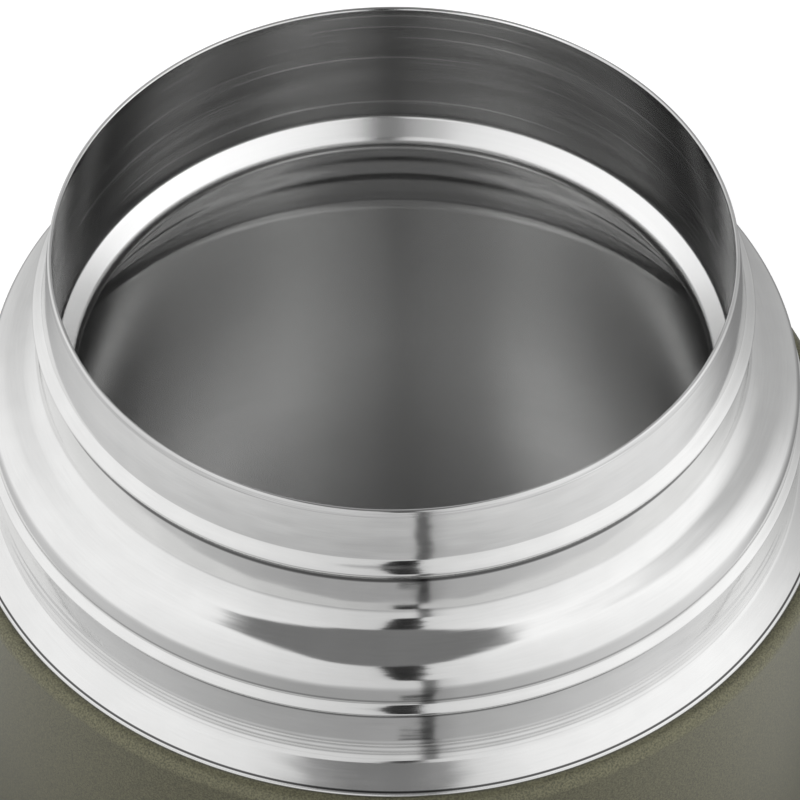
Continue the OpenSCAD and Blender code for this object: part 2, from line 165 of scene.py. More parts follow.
def turned(name, profile, body, replaces, finish, around, closed=False, centre=0.0,
           shape=None):
    """Surface of revolution: point (i, j) is the profile's point i turned by the angle j.

    The outside lies to the left of the profile's direction. An open profile that ends on the axis
    is closed by one point there. The axis is upright at x = centre. shape may change the grid of
    radii and heights as a function of radius, height and angle.
    """
    profile = np.asarray(profile, float)
    poles = [not closed and profile[i, 0] < ON_AXIS for i in (0, -1)]
    rings = profile[1 if poles[0] else 0 : len(profile) - 1 if poles[1] else None]
    rows = len(rings)
    phi = np.arange(around) * 2 * np.pi / around
    r, a = np.meshgrid(rings[:, 0], phi, indexing="ij")
    z = np.repeat(rings[:, 1:], around, axis=1)
    if shape:
        r, z = shape(r, z, a)
    points = np.stack([centre + r * np.cos(a), r * np.sin(a), z], -1).reshape(-1, 3)
    row = np.arange(rows if closed else rows - 1)[:, None]
    i, k = row * around, (row + 1) % rows * around
    j = np.arange(around)[None, :]
    n = (j + 1) % around
    quads = np.stack([i + j, k + j, k + n, i + n], -1).reshape(-1, 4)
    fans = []
    for end, is_pole in zip((0, -1), poles):
        if is_pole:
            tip = np.full(around, len(points))
            points = np.r_[points, [[centre, 0, profile[end, 1]]]]
            first = end % rows * around
            pair = (first + j[0], first + n[0])[:: 1 if end == 0 else -1]
            fans.append(np.c_[tip, pair[0], pair[1]])
    corners = np.concatenate([quads.ravel(), *[fan.ravel() for fan in fans]])
    counts = np.r_[np.full(len(quads), 4), np.full(sum(map(len, fans)), 3)]
    return place(name, points, corners, counts, body, replaces, finish)


def coiled(name, centre, low, high, radius, wire, turns, body, replaces, finish):
    """Coil spring between the heights low and high: round wire on a helix about x = centre.

    The share u of its length is lifted by u - 0.7 sin(2 pi u) / (2 pi), which lays the end turns
    flat.
    """
    sides, steps, flatness = 12, 40, 0.7  # sides and steps: points round the wire and a turn
    u, k = np.linspace(0, 1, steps * turns + 1)[:, None], np.arange(sides)
    a, b = 2 * np.pi * turns * u, 2 * np.pi * k[None, :] / sides
    lift = u - flatness * np.sin(2 * np.pi * u) / (2 * np.pi)
    r = radius + wire / 2 * np.cos(b)
    z = low + wire / 2 + (high - low - wire) * lift + wire / 2 * np.sin(b)
    points = np.stack([centre + r * np.cos(a), r * np.sin(a), z], -1).reshape(-1, 3)
    i, n = np.arange(len(u) - 1)[:, None] * sides, (k + 1) % sides
    quads = np.stack([i + k, i + n, i + sides + n, i + sides + k], -1).reshape(-1, 4)
    corners = np.concatenate([quads.ravel(), k[::-1], k + sides * (len(u) - 1)])
    counts = np.r_[np.full(len(quads), 4), sides, sides]
    return place(name, points, corners, counts, body, replaces, finish)


def place(name, points, corners, counts, body, replaces, finish):
    """Puts arrays of points and of faces' corners into a new smooth mesh that rides on a body."""
    mesh = bpy.data.meshes.new(name)
    mesh.vertices.add(len(points))
    mesh.vertices.foreach_set("co", np.asarray(points, np.float32).ravel())
    mesh.loops.add(len(corners))
    mesh.loops.foreach_set("vertex_index", np.asarray(corners, np.int32))
    mesh.polygons.add(len(counts))
    mesh.polygons.foreach_set("loop_start", np.r_[0, np.cumsum(counts)[:-1]].astype(np.int32))
    mesh.polygons.foreach_set("use_smooth", np.ones(len(counts), bool))
    mesh.update(calc_edges=True)
    mesh.validate()
    mesh.set_sharp_from_angle(angle=SHARP_EDGE)
    mesh.materials.append(finish)
    piece = bpy.data.objects.new(name, mesh)
    bpy.context.scene.collection.objects.link(piece)
    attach(piece, body)
    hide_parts(*replaces)
    piece.visible_glossy = body == "jar"  # the lid stays out of the neck's reflections
    return piece


# --- shader maths ---


class Value:
    """A node's output that takes part in sums: each operator adds a Math node."""

    def __init__(self, tree, socket):
        self.tree, self.socket = tree, socket

    def also(self, name):
        """Another output of the same node."""
        return Value(self.tree, self.socket.node.outputs[name])

    def maths(self, operation, *others):
        return self.tree.node("Math", {"operation": operation}, dict(enumerate((self, *others))))

    def __add__(self, other):
        return self.maths("ADD", other)

    __radd__ = __add__

    def __mul__(self, other):
        return self.maths("MULTIPLY", other)

    __rmul__ = __mul__

    def __sub__(self, other):
        return self.maths("SUBTRACT", other)

    def __rsub__(self, other):
        return (self * -1).maths("ADD", other)

    def __truediv__(self, other):
        return self.maths("DIVIDE", other)

    def __pow__(self, other):
        return self.maths("POWER", other)

    def __abs__(self):
        return self.maths("ABSOLUTE")

    def between(self, low, high, start=0.0, end=1.0):
        """Smooth step: start up to low, end from high on."""
        inputs = {"Value": self, "From Min": low, "From Max": high, "To Min": start, "To Max": end}
        return self.tree.node("MapRange", {"interpolation_type": "SMOOTHSTEP"}, inputs)


class Tree:
    """The node tree of a material or of the world."""

    def __init__(self, owner):
        owner.use_nodes = True
        self.owner, self.tree = owner, owner.node_tree
        self.tree.nodes.clear()

    def node(self, kind, settings=None, inputs=None, out=0):
        """Adds a node: its settings first, then the values or links of its sockets."""
        made = self.tree.nodes.new("ShaderNode" + kind)
        for key, value in (settings or {}).items():
            setattr(made, key, value)
        for key, value in (inputs or {}).items():
            if isinstance(value, Value):
                self.tree.links.new(value.socket, made.inputs[key])
            else:
                made.inputs[key].default_value = value
        return Value(self, made.outputs[out]) if len(made.outputs) else None

    def mix(self, factor, a, b):
        """Colour a where the factor is 0 and colour b where it is 1."""
        a, b = (v if isinstance(v, Value) else (*v, 1) for v in (a, b))
        return self.node("Mix", {"data_type": "RGBA"}, {0: factor, 6: a, 7: b}, out=2)

    def where(self):
        """The point's place in Object coordinates."""
        return self.node("TexCoord", out="Object")

    def split(self, vector):
        """A vector's x, y and z."""
        x = self.node("SeparateXYZ", inputs={0: vector})
        return x, x.also("Y"), x.also("Z")

    def radius(self, x, y):
        """Distance from the upright axis."""
        return (x * x + y * y).maths("SQRT")

    def streaks(self, x, y, z, r, around, across, detail=2.0, w=0.0):
        """Turning marks: 4D noise, long round the piece and fine along its profile."""
        spot = {0: x * (1 / around), 1: y * (1 / around), 2: z * (1 / across)}
        inputs = {"Vector": self.node("CombineXYZ", inputs=spot), "W": r * (1 / across) + w,
                  "Scale": 1.0, "Detail": detail, "Roughness": 0.6}
        return self.node("TexNoise", {"noise_dimensions": "4D"}, inputs)

    def noise(self, where, size, detail=2.0, rough=0.5):
        """3D noise with features of about the given size."""
        inputs = {"Vector": where, "Scale": 1 / size, "Detail": detail, "Roughness": rough}
        return self.node("TexNoise", {}, inputs)

    def bump(self, height, distance, strength=1.0):
        inputs = {"Strength": strength, "Distance": distance, "Height": height}
        return self.node("Bump", {}, inputs, out="Normal")

    def surface(self, **inputs):
        """Principled surface: underscores stand for the spaces in the sockets' names."""
        sockets = {key.replace("_", " "): value for key, value in inputs.items()}
        shader = self.node("BsdfPrincipled", {}, sockets)
        self.node("OutputMaterial", {}, {"Surface": shader})
        return self.owner


def finish_called(name):
    return Tree(bpy.data.materials.new(name))


def shaded(colour, by, most=1.0):
    """A colour made darker or lighter, with no channel above most."""
    return tuple(min(c * by, most) for c in colour)


# --- finishes ---


def neck_steel(colour, edge_r):
    """Polished steel with fine turning marks, painted shade in the creases beside the ridges and a
    painted shadow in a ring just inside edge_r.
    """
    t = finish_called("neck_steel")
    where = t.where()
    x, y, z = t.split(where)
    r = t.radius(x, y)
    fine = t.streaks(x, y, z, r, 4 * MM, 0.2 * MM)
    broad = t.streaks(x, y, z, r, 24 * MM, 1.5 * MM, w=7.0)
    wave = t.streaks(x, y, z, r, 8 * MM, 2.6 * MM, detail=1, w=11.0)
    cloud = t.noise(where, 5 * MM)
    foot = 1 - z.between(JAR_TOP - 31.6 * MM, JAR_TOP - 30.8 * MM)
    rough = 0.06 + fine * 0.03 + broad * 0.05 + (cloud - 0.5) * 0.04 + foot * 0.08
    height = fine * 0.05 + broad * 0.16 + wave * 1.5
    tone = t.mix((fine * 0.4 + cloud * 0.6).between(0.3, 0.7), shaded(colour, 0.94), colour)
    # Painted shade: each crease beside a ridge is darkened towards black
    for depth, half, strength in PAINTED_CREASE_SHADES:
        painted_crease_shade = 1 - abs(z - (JAR_TOP - depth)).between(0.3 * half, half)
        tone = t.mix(painted_crease_shade * strength, tone, (0.05, 0.05, 0.05))
    # Painted shadow: a dark ring just inside edge_r, where the gap between the steel and the paint
    # lies in shade
    painted_gap_shadow = 1 - abs(r - (edge_r - 0.26 * MM)).between(0.06 * MM, 0.14 * MM)
    tone = t.mix(painted_gap_shadow * 0.9, tone, (0.02, 0.02, 0.02))
    return t.surface(Base_Color=tone, Metallic=1.0, Roughness=rough, Anisotropic=0.4,
                     Anisotropic_Rotation=0.25, Normal=t.bump(height, 0.04 * MM))


def liner_steel(colour):
    """Steel inside the jar: shiny lip, streaked wall above the bead, satin bead and lower wall.

    under is 1 close below it. The lower wall is painted lighter and the band close below the bead
    darker: painted light and shade by height inside the jar.
    """
    t = finish_called("liner_steel")
    where = t.where()
    x, y, z = t.split(where)
    r = t.radius(x, y)
    fine = t.streaks(x, y, z, r, 14 * MM, 0.14 * MM, detail=3)
    broad = t.streaks(x, y, z, r, 30 * MM, 1.6 * MM, detail=3, w=3.0)
    scratch = t.streaks(x, y, z, r, 60 * MM, 0.5 * MM, w=5.0)
    cloud = t.noise(where, 9 * MM, detail=3)
    lip = z.between(JAR_TOP - 1.2 * MM, JAR_TOP - 0.8 * MM)
    wall = z.between(JAR_TOP - 17.0 * MM, JAR_TOP - 16.7 * MM)
    low = 1 - z.between(JAR_TOP - 22 * MM, JAR_TOP - 20.5 * MM)
    bead = 1 - wall - low
    under = low * z.between(JAR_TOP - 33 * MM, JAR_TOP - 30 * MM)
    mark = scratch.between(0.6, 0.66) * wall
    grain = ((fine - 0.5) * 0.14 + (broad - 0.5) * 0.14) * (wall * 0.8 + 0.2)
    rough = 0.14 + wall * 0.02 - lip * 0.06 + low * 0.04 + bead * 0.07 - under * 0.11
    rough = rough + grain + (cloud - 0.5) * 0.05
    height = fine * (0.2 + wall * 1.6) + broad * (0.3 + wall * 3.2) - mark * 2
    shade = broad.between(0.3, 0.7, 0.0, 0.5) + fine.between(0.35, 0.65, 0.0, 0.3)
    # Painted light and shade: low lifts the lower wall towards the lighter copy, under pulls the
    # band below the bead towards the darker one
    shade = shade * (wall * 0.8 + 0.1) + wall * 0.35 + low * 0.56 - under * 0.45 - mark * 0.7
    shade = shade.maths("MINIMUM", 1).maths("MAXIMUM", 0)
    tone = t.mix(shade, shaded(colour, 1.18, most=0.94), shaded(colour, 0.66))
    return t.surface(Base_Color=tone, Metallic=1.0, Roughness=rough.maths("MAXIMUM", 0.05),
                     Anisotropic=0.6, Anisotropic_Rotation=0.25, Normal=t.bump(height, 0.004 * MM))


def grained_paint(name, colour, rim):
    """Satin paint with a fine grain in tone and bump, and a painted shadow up to 0.3 mm past the
    radius rim, where the paint meets the steel.
    """
    t = finish_called(name)
    where = t.where()
    x, y, _ = t.split(where)
    speck = t.noise(where, 0.2 * MM, 3, 0.6)
    cloud = t.noise(where, 14 * MM, 3)
    tone = t.mix(speck.between(0.3, 0.7), shaded(colour, 0.56), shaded(colour, 1.62))
    tone = t.mix(cloud.between(0.2, 0.8, 0, 0.12), tone, shaded(colour, 1.4))
    # Painted shadow: darker up to 0.3 mm past rim, along the paint's inner edge beside the steel
    edge = 1 - t.radius(x, y).between(rim + 0.12 * MM, rim + 0.3 * MM)
    tone = t.mix(edge * 0.4, tone, (0.01, 0.01, 0.01))
    rough = 0.42 + (speck - 0.5) * 0.25
    return t.surface(Base_Color=tone, Roughness=rough, Metallic=0.6, Coat_Weight=0.6,
                     Coat_Roughness=0.35, Normal=t.bump(speck, 0.012 * MM, 0.7))


def moulded(name, colour, rough=0.45, grain=0.35 * MM, depth=0.012 * MM):
    """Moulded plastic with a low spark-eroded grain."""
    t = finish_called(name)
    where = t.where()
    speck = t.noise(where, grain)
    cloud = t.noise(where, 11 * MM)
    tone = t.mix(cloud.between(0.3, 0.7), shaded(colour, 0.92), shaded(colour, 1.06))
    return t.surface(Base_Color=tone, Roughness=rough + (speck - 0.5) * 0.2,
                     Normal=t.bump(speck, depth, 0.6))


def metal(name, colour, rough, around=8 * MM, across=0.3 * MM):
    """Plain metal with drawing or turning marks."""
    t = finish_called(name)
    x, y, z = t.split(t.where())
    mark = t.streaks(x, y, z, t.radius(x, y), around, across)
    tone = t.mix(mark, shaded(colour, 0.9), colour)
    return t.surface(Base_Color=tone, Metallic=1.0, Roughness=rough + (mark - 0.5) * 0.15,
                     Normal=t.bump(mark, 0.004 * MM))


def open_foam(colour):
    """Foam with small open cells."""
    t = finish_called("open_foam")
    cell = t.node("TexVoronoi", {"feature": "F1"}, {"Vector": t.where(), "Scale": 1 / (0.9 * MM)})
    tone = t.mix(cell.between(0.1, 0.7), shaded(colour, 0.7), colour)
    return t.surface(Base_Color=tone, Roughness=0.9, Normal=t.bump(cell, 0.2 * MM))


def rubbery(name, colour, rough=0.6):
    """Rubber or silicone with a faint bloom."""
    t = finish_called(name)
    bloom = t.noise(t.where(), 3 * MM, 3)
    tone = t.mix(bloom, shaded(colour, 0.85), shaded(colour, 1.1))
    return t.surface(Base_Color=tone, Roughness=rough + (bloom - 0.5) * 0.15,
                     Normal=t.bump(bloom, 0.02 * MM, 0.5))


# --- settings ---


class JarSizes(bpy.types.PropertyGroup):
    """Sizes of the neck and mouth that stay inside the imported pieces."""

    mouth_radius: FloatProperty(
        name="Mouth Radius", description="Inside radius of the mouth",
        default=36.3 * MM, unit="LENGTH")
    sheet: FloatProperty(
        name="Sheet", description="Thickness of the neck and liner sheet",
        default=0.4 * MM, unit="LENGTH")
    body_sheet: FloatProperty(
        name="Body Sheet", description="Thickness of the painted body sheet",
        default=0.6 * MM, unit="LENGTH")
    shoulder_round: FloatProperty(
        name="Shoulder Round", description="Radius of the painted shoulder edge",
        default=1.5 * MM, unit="LENGTH")


class JarColours(bpy.types.PropertyGroup):
    """Colours of the finishes."""

    steel: FloatVectorProperty(
        name="Steel", description="Colour of the bare steel",
        subtype="COLOR", default=(0.8, 0.8, 0.795), min=0, max=1)
    paint: FloatVectorProperty(
        name="Paint", description="Colour of the body's grained paint",
        subtype="COLOR", default=(0.125, 0.12, 0.07), min=0, max=1)
    lid: FloatVectorProperty(
        name="Lid", description="Colour of the lid's moulding",
        subtype="COLOR", default=(0.06, 0.058, 0.045), min=0, max=1)


class JarStage(bpy.types.PropertyGroup):
    """Camera and light."""

    elevation: FloatProperty(
        name="Elevation", description="Camera's angle above the table",
        default=math.radians(48.09), subtype="ANGLE")
    distance: FloatProperty(
        name="Distance", description="Camera's distance from the neck",
        default=0.740, unit="LENGTH")
    lens: FloatProperty(
        name="Lens", description="Focal length in millimetres",
        default=306.1, unit="CAMERA")
    target_height: FloatProperty(
        name="Target Height", description="Height that the camera looks at",
        default=0.1012, unit="LENGTH")
    side_light: FloatProperty(
        name="Side Light", description="Brightness of the light from both sides",
        default=1.12)
    front_light: FloatProperty(
        name="Front Light", description="Brightness of the light from the front",
        default=0.7)


def sizes():
    return bpy.context.scene.food_jar_sizes


def colours():
    return bpy.context.scene.food_jar_colours


def put_finish(finish, *nodes):
    """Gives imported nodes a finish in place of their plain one."""
    for name in nodes:
        node = frame["nodes"][name]
        node.data.materials.clear()
        node.data.materials.append(finish)
        node.visible_glossy = node["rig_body"] == "jar"


# --- pieces ---


def neck_numbers():
    """Radii of the neck's walls and of the paint's inner edge, and the height of the shoulder.

    band is the wall round the mouth, collar the wall under the first ridge, and step_r the wall
    under the step.
    """
    s = sizes()
    band = s.mouth_radius + 2 * s.sheet + SEAM + 0.5 * MM
    collar = band + 0.6 * MM
    paint_r = BODY_R - s.shoulder_round - 0.2 * MM
    step_r = paint_r - 3.4 * MM
    return band, collar, step_r, paint_r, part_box("outer_shell")[1].z


class FOODJAR_OT_neck(bpy.types.Operator):
    """Turn the bare steel neck with its two rolled ridges, its step and its flare"""

    bl_idname = "food_jar.neck"
    bl_label = "Neck"

    def execute(self, context):
        s = sizes()
        band, collar, step_r, paint_r, ledge = neck_numbers()
        top, width = JAR_TOP, step_r - collar
        pinch = 0.06 * MM  # a ridge's foot lies this far inside its wall
        first_ridge = ridge(band, band + 1.05 * MM, collar - pinch, top - FIRST_RIDGE,
                            1.45 * MM, 1.2 * MM, 24)
        step = jog(collar, step_r, top - STEP, 68, 0.52 * width, 0.65 * width, 28)
        lead_in = swell(step_r, step_r - pinch, top - 21.95 * MM, top - 22.25 * MM, 6)
        second_ridge = ridge(step_r - pinch, step_r + 0.65 * MM, step_r - pinch,
                             top - SECOND_RIDGE, 1.0 * MM, 1.1 * MM, 16)
        foot, foot_height, lean = ledge + 2.4 * MM, 2.8 * MM, 0.28 * MM
        u = np.linspace(0, 1, 43)
        rolled = 0.05 * MM * (1 - np.cos(5 * np.pi * u)) / 2  # faint rolling marks
        hollow = np.c_[step_r + lean * u**2 + rolled, foot + foot_height * (1 - u)]
        a = np.radians(np.linspace(11.5, 57, 10))
        turn = np.c_[math.cos(a[0]) - np.cos(a), math.sin(a[0]) - np.sin(a)]
        flare = hollow[-1] + 0.7 * MM * turn
        edge_r, edge_z, edge_round = paint_r - 0.1 * MM, ledge + 0.1 * MM, 0.2 * MM
        slope = np.linspace(flare[-1], [edge_r - 0.05 * MM, edge_z], 10)
        edge = arc(edge_r - edge_round, edge_z - edge_round, edge_round, 40, 0, 8)
        inner_r, shoulder = BODY_R - s.body_sheet - SEAM, ledge - s.shoulder_round
        tucked = [[edge_r, ledge - s.body_sheet], [BODY_R - s.shoulder_round, ledge - s.body_sheet],
                  [inner_r, shoulder - SEAM], [inner_r, shoulder - 5 * MM]]
        line = spaced(np.concatenate([
            [[band - 0.75 * MM, top - LIP_END]], first_ridge, step[:-1], lead_in, second_ridge,
            hollow, flare[1:], slope[1:], edge, tucked,
        ]))
        hidden = beside(line, 0.3 * MM)[::-4]  # the hidden side needs fewer rings
        loop = np.r_[line, hidden]
        finish = neck_steel(tuple(colours().steel), edge_r)
        turned("neck", loop, "jar", ["neck_shell"], finish, 352, closed=True)
        return {"FINISHED"}


class FOODJAR_OT_liner(bpy.types.Operator):
    """Turn the liner with its lip, bead, wall and floor disc"""

    bl_idname = "food_jar.liner"
    bl_label = "Liner"

    def execute(self, context):
        s = sizes()
        mouth, top = s.mouth_radius, JAR_TOP
        root, crest, crest_z = mouth + 0.3 * MM, mouth - 1.85 * MM, top - BEAD_CREST
        bead = (48, 0.6 * MM, 1.6 * MM)  # the slope in degrees and the radii of its bends
        lip_round, lip_out = 0.25 * MM, 0.6 * MM
        wall = BODY_R - s.body_sheet - 3.5 * MM - s.sheet
        floor_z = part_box("liner_floor")[0].z + s.sheet
        corner, disc, dome_height = 9 * MM, wall - 11.6 * MM, 1.2 * MM
        under = jog(crest, wall, crest_z - 0.01 * MM, 28, 1 * MM, 6 * MM)
        u = np.linspace(0, 1, 80)
        rows = under[0, 1] + (under[-1, 1] - under[0, 1]) * u
        rolled = 0.12 * MM * np.sin(6 * np.pi * u) * np.sin(np.pi * u)  # rolling marks
        under = np.c_[np.interp(-rows, -under[:, 1], under[:, 0]) + rolled, rows]
        inside = spaced(np.concatenate([
            [[mouth, top - s.sheet - SEAM / 2]],
            jog(root, crest, crest_z + drop(root - crest, *bead), *bead),
            under,
            arc(wall - corner, floor_z + corner, corner, 0, -90),
            [[disc + SEAM, floor_z]],
        ]))
        loop = np.concatenate([
            inside[::-1],
            arc(mouth + lip_round, top - lip_round, lip_round, 180, 8, 20),
            [[mouth + lip_out, top - LIP_END], [mouth + s.sheet, top - LIP_END]],
            beside(inside, -s.sheet)[4::4],
        ])
        finish = liner_steel(tuple(colours().steel))
        turned("liner_wall", loop, "jar", ["liner"], finish, 448, closed=True)
        u = np.linspace(0, 1, 24)
        start = 0.08  # share of the disc's radius at which the dome leaves its middle point
        crown = floor_z + dome_height * (1 + np.cos(np.pi * u)) / 2
        dome = np.c_[disc * (start + (1 - start) * u), crown]
        shell = np.concatenate([
            [[0, floor_z + dome_height]],
            dome,
            beside(dome, s.sheet)[::-1],
            [[0, floor_z + dome_height - s.sheet]],
        ])
        turned("liner_disc", shell, "jar", ["liner_floor"], finish, 256)
        return {"FINISHED"}


class FOODJAR_OT_body(bpy.types.Operator):
    """Turn the painted body and the base cup"""

    bl_idname = "food_jar.body"
    bl_label = "Body"

    def execute(self, context):
        s = sizes()
        *_, paint_r, ledge = neck_numbers()
        low, rim = (corner.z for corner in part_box("base_cup"))
        base, edge, wall = rim + 0.2 * MM, s.shoulder_round, s.body_sheet
        tongue, tongue_end = BODY_R - 1.25 * MM, 3.2 * MM  # joggled in to sit inside the cup
        line = np.concatenate([
            [[paint_r, ledge]],
            arc(BODY_R - edge, ledge - edge, edge, 90, 0, 14),
            [[BODY_R, base], [tongue, base], [tongue, tongue_end], [tongue - wall, tongue_end],
             [tongue - wall, base + wall], [BODY_R - wall, base + wall],
             [BODY_R - wall, ledge - edge], [BODY_R - edge, ledge - wall],
             [paint_r, ledge - wall]],
        ])
        paint = tuple(colours().paint)
        finish = grained_paint("body_paint", paint, paint_r)
        sleeve = turned("painted_body", line, "jar", ["outer_shell"], finish, 360,
                        closed=True)
        sleeve.visible_glossy = False  # keeps the dark paint out of the bright foot of the neck
        corner, cup_wall, floor, floor_r = 3 * MM, 1.2 * MM, low + 1.5 * MM, BODY_R - 4 * MM
        foot_out, foot_in, foot_top = BODY_R - 8.55 * MM, BODY_R - 13.65 * MM, low + 0.7 * MM
        cup = np.concatenate([
            [[0, floor], [floor_r, floor], [floor_r, floor + cup_wall],
             [BODY_R - cup_wall, floor + cup_wall], [BODY_R - cup_wall, rim],
             [BODY_R - 0.2 * MM, rim], [BODY_R, rim - 0.25 * MM]],
            arc(BODY_R - corner, low + corner, corner, 0, -90, 14),
            [[foot_out, low], [foot_out, foot_top], [foot_in, foot_top], [foot_in, low], [0, low]],
        ])
        # A rim radius below zero gives the base no painted shadow
        no_painted_shadow = -1 * MM
        finish = grained_paint("base_paint", shaded(paint, 0.8), no_painted_shadow)
        turned("base", cup, "jar", ["base_cup"], finish, 256)
        return {"FINISHED"}


class FOODJAR_OT_lid(bpy.types.Operator):
    """Turn the lid's outer moulding and finish its inner pieces"""

    bl_idname = "food_jar.lid"
    bl_label = "Lid"

    def execute(self, context):
        low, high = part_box("lid_shell")
        x, top, r = (low.x + high.x) / 2, high.z, (high.x - low.x) / 2
        hole, dish, corner, inner_round, foot = 9.3 * MM, 1 * MM, 6 * MM, 3.8 * MM, 0.6 * MM
        wall = corner - inner_round
        grip_low, grip_high, margin, rows = 7 * MM, 25.6 * MM, 0.2 * MM, 24
        flutes, flute_depth, fade_length = 60, 0.35 * MM, 2.5 * MM
        side = np.linspace(grip_high - margin, grip_low + margin, rows)
        profile = np.concatenate([
            [[hole, top - dish], [31 * MM, top - dish], [33.6 * MM, top - 0.1 * MM],
             [34.2 * MM, top]],
            arc(r - corner, top - corner, corner, 90, 0, 20),
            [[r, grip_high + 2 * margin], [r, grip_high]],
            np.c_[np.full(rows, r), side],
            [[r, grip_low], [r, grip_low - 2 * margin], [r, foot], [r - foot, 0], [r - wall, 0]],
            arc(r - corner, top - corner - dish, inner_round, 0, 90, 14),
            [[hole, top - dish - wall]],
        ])

        def grips(radius, height, angle):
            """Finger grips: cosine flutes on the outside that fade by a smooth step at each end."""
            fade = (np.clip((height - grip_low) / fade_length, 0, 1)
                    * np.clip((grip_high - height) / fade_length, 0, 1))
            fade = fade * fade * (3 - 2 * fade) * (radius > r - 0.1 * MM)
            return radius - flute_depth * fade * (0.5 + 0.5 * np.cos(flutes * angle)), height

        finish = moulded("lid_plastic", tuple(colours().lid))
        turned("lid_cover", profile, "lid", ["lid_shell"], finish, 720,
               closed=True, centre=x, shape=grips)
        core = moulded("core_plastic", (0.022, 0.022, 0.02), 0.35, 0.8 * MM, 0.006 * MM)
        put_finish(core, "lid_core", "plug_cover")
        put_finish(open_foam((0.78, 0.74, 0.62)), "lid_foam", "plug_foam")
        put_finish(rubbery("silicone", (0.48, 0.47, 0.43)), "lid_gasket", "vent_seal")
        put_finish(moulded("guide_plastic", (0.7, 0.7, 0.67), 0.3), "vent_guide")
        return {"FINISHED"}


class FOODJAR_OT_vent(bpy.types.Operator):
    """Turn the vent button with its stem, and wind its spring"""

    bl_idname = "food_jar.vent"
    bl_label = "Vent"

    def execute(self, context):
        low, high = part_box("vent_button")
        x, top, r = (low.x + high.x) / 2, high.z, (high.x - low.x) / 2
        dish_r, dish_depth, edge, stem = 30 * MM, 0.5 * MM, 1 * MM, 2.4 * MM
        under, skirt, skirt_end = top - 2 * MM, r - 1.2 * MM, top - 3.5 * MM
        u = np.linspace(0, 5.42 * MM, 12)
        bowl = np.c_[u, top - dish_depth + dish_r - np.sqrt(dish_r * dish_r - u * u)]
        line = np.concatenate([
            bowl[:-1],
            [[5.5 * MM, top]],
            arc(r - edge, top - edge, edge, 90, 0, 12),
            [[r, skirt_end], [skirt, skirt_end], [skirt, under], [stem, under],
             [stem, low.z + 0.3 * MM], [stem - 0.3 * MM, low.z], [0, low.z]],
        ])
        finish = moulded("button_plastic", (0.03, 0.03, 0.027), 0.4)
        turned("button", line, "vent", ["vent_button"], finish, 192, centre=x)
        steel = metal("spring_steel", (0.5, 0.5, 0.5), 0.25)
        put_finish(steel, "vent_clip")
        low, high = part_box("vent_spring")
        wire, turns, travel = 0.7 * MM, 4, 2 * MM
        spring = coiled("spring", x, low.z, high.z, (high.x - low.x - wire) / 2, wire, turns,
                        "lid", ["vent_spring"], steel)
        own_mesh(spring)
        return {"FINISHED"}


class FOODJAR_OT_hidden(bpy.types.Operator):
    """Finish the pieces in the vacuum space and under the base"""

    bl_idname = "food_jar.hidden"
    bl_label = "Hidden Pieces"

    def execute(self, context):
        put_finish(metal("foil", (0.6, 0.6, 0.595), 0.2, 4 * MM, 2 * MM), "radiation_foil")
        put_finish(metal("bottom_steel", (0.6, 0.6, 0.6), 0.35), "outer_bottom", "getter_clip")
        put_finish(metal("solder", (0.45, 0.45, 0.45), 0.5, 1 * MM, 1 * MM), "vacuum_plug")
        put_finish(rubbery("pressed_pellet", (0.12, 0.12, 0.12), 0.8), "getter")
        put_finish(rubbery("foot_rubber", (0.02, 0.02, 0.02)), "foot_ring")
        return {"FINISHED"}


